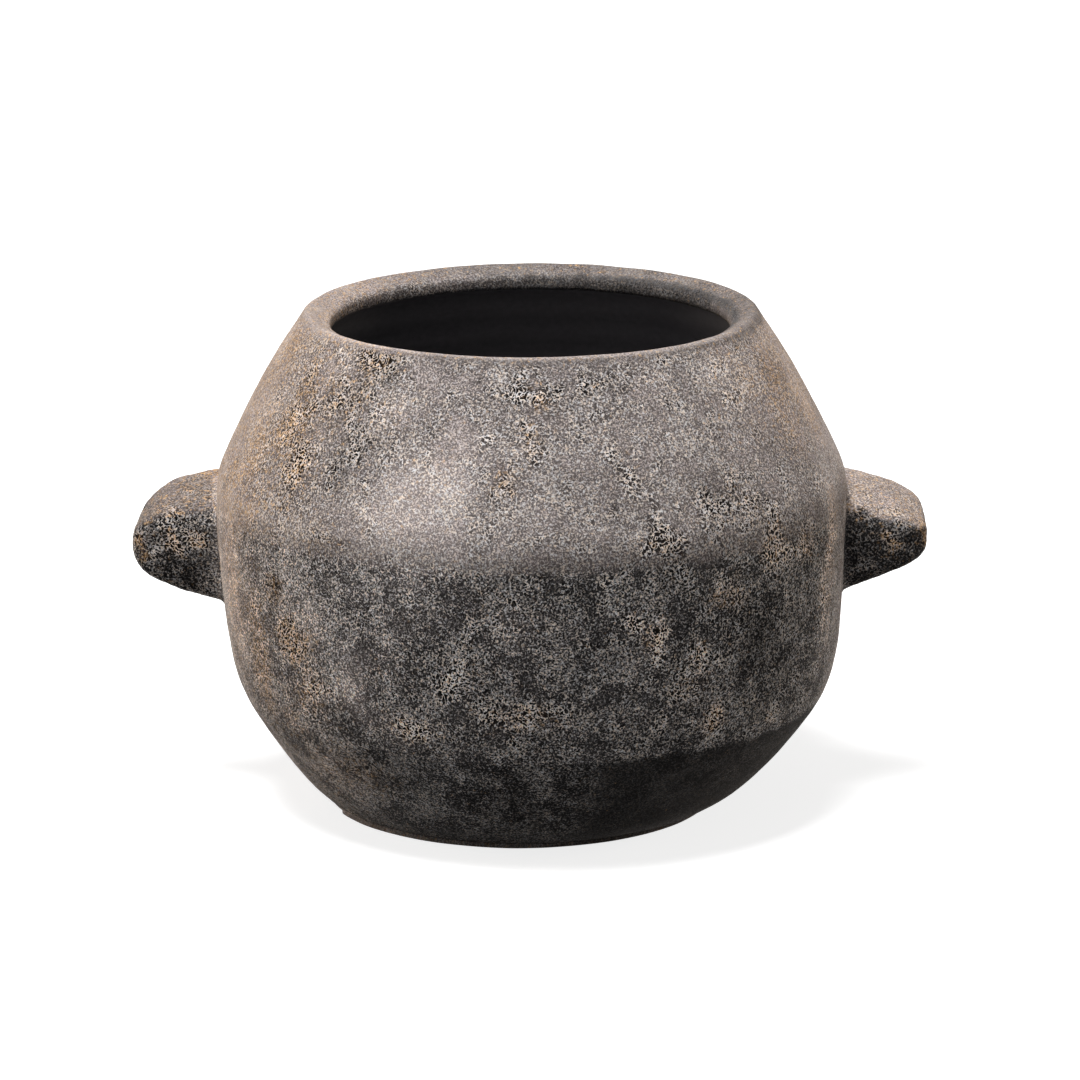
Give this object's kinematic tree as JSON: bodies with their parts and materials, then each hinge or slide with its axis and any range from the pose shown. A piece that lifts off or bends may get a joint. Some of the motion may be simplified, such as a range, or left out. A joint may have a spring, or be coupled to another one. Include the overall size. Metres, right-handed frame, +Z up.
{
  "type": "round clay pot with two lug handles",
  "caption": "Round-bellied weathered clay pot with a wide mouth, a thick rolled rim, a low foot ring and a solid lug handle on each side.",
  "frame": {"origin": "centre of the foot's underside, on the surface that the pot stands on", "axes": "+Z up through the middle of the mouth, +X through the right lug, -Y towards the viewer of the picture"},
  "size_m": [0.4022, 0.3178, 0.2522],
  "materials": {
    "weathered_clay": "matt charcoal and beige speckled crackle, rough to the touch",
    "dark_clay": "matt charcoal, smoother and darker than the rest"
  },
  "bodies": {
    "root": {"foot_ring": "dark_clay", "floor_disc": "dark_clay", "lower_bowl": "weathered_clay", "belly_band": "weathered_clay", "shoulder": "weathered_clay", "rim_ring": "weathered_clay", "left_lug": "weathered_clay", "right_lug": "weathered_clay"}
  },
  "joints": []
}
